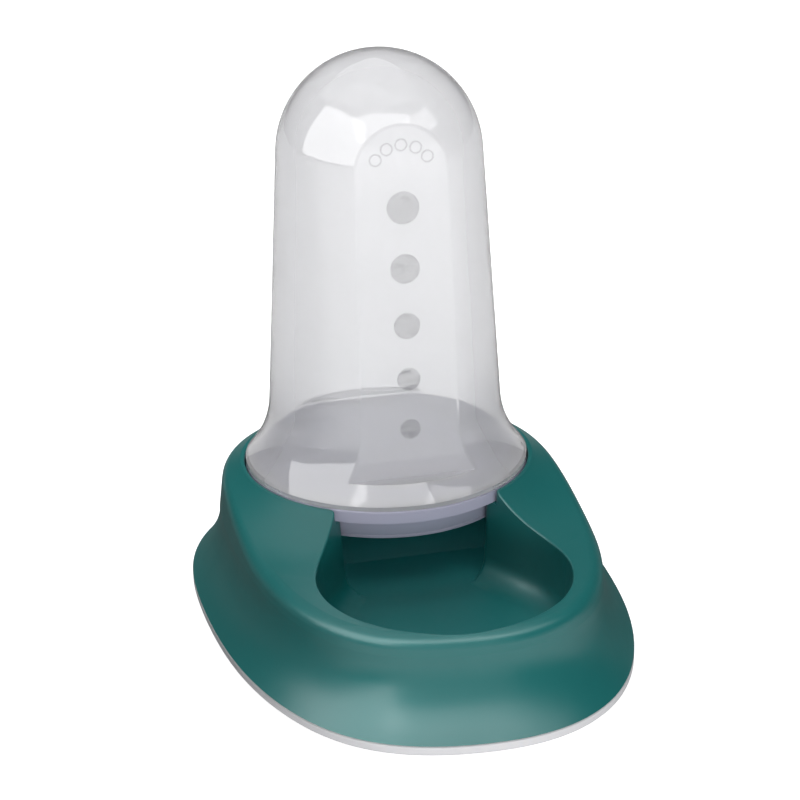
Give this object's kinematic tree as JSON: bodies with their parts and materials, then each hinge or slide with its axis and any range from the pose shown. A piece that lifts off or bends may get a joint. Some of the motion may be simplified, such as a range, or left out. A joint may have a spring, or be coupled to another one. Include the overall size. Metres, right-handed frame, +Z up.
{
  "type": "gravity food dispenser",
  "caption": "Gravity food dispenser for pets: clear domed reservoir on a twist-lock collar, seated in an open-fronted housing with a round bowl and a soft rim.",
  "frame": {"origin": "middle of the footprint, on the floor", "axes": "+Z up, +Y from the bowl towards the reservoir, so the animal eats from the -Y side, +X to the right seen from the bowl"},
  "size_m": [0.2452, 0.3571, 0.324],
  "materials": {
    "teal_plastic": "satin",
    "soft_rim": "matte",
    "clear_plastic": "gloss",
    "grey_plastic": "satin"
  },
  "bodies": {
    "base": {"base_housing": "teal_plastic", "anti_slip_rim": "soft_rim"},
    "reservoir": {"reservoir_dome": "clear_plastic"},
    "collar": {"dispensing_collar": "grey_plastic"}
  },
  "joints": [
    {"name": "reservoir_lift", "type": "slide", "parent": "base", "child": "reservoir", "axis": [0, 0, 1], "range_m": [0, 0.11]},
    {"name": "collar_twist", "type": "hinge", "parent": "reservoir", "child": "collar", "pos_m": [0, 0.0605, 0.074], "axis": [0, 0, 1], "range_deg": [0, 30]}
  ]
}
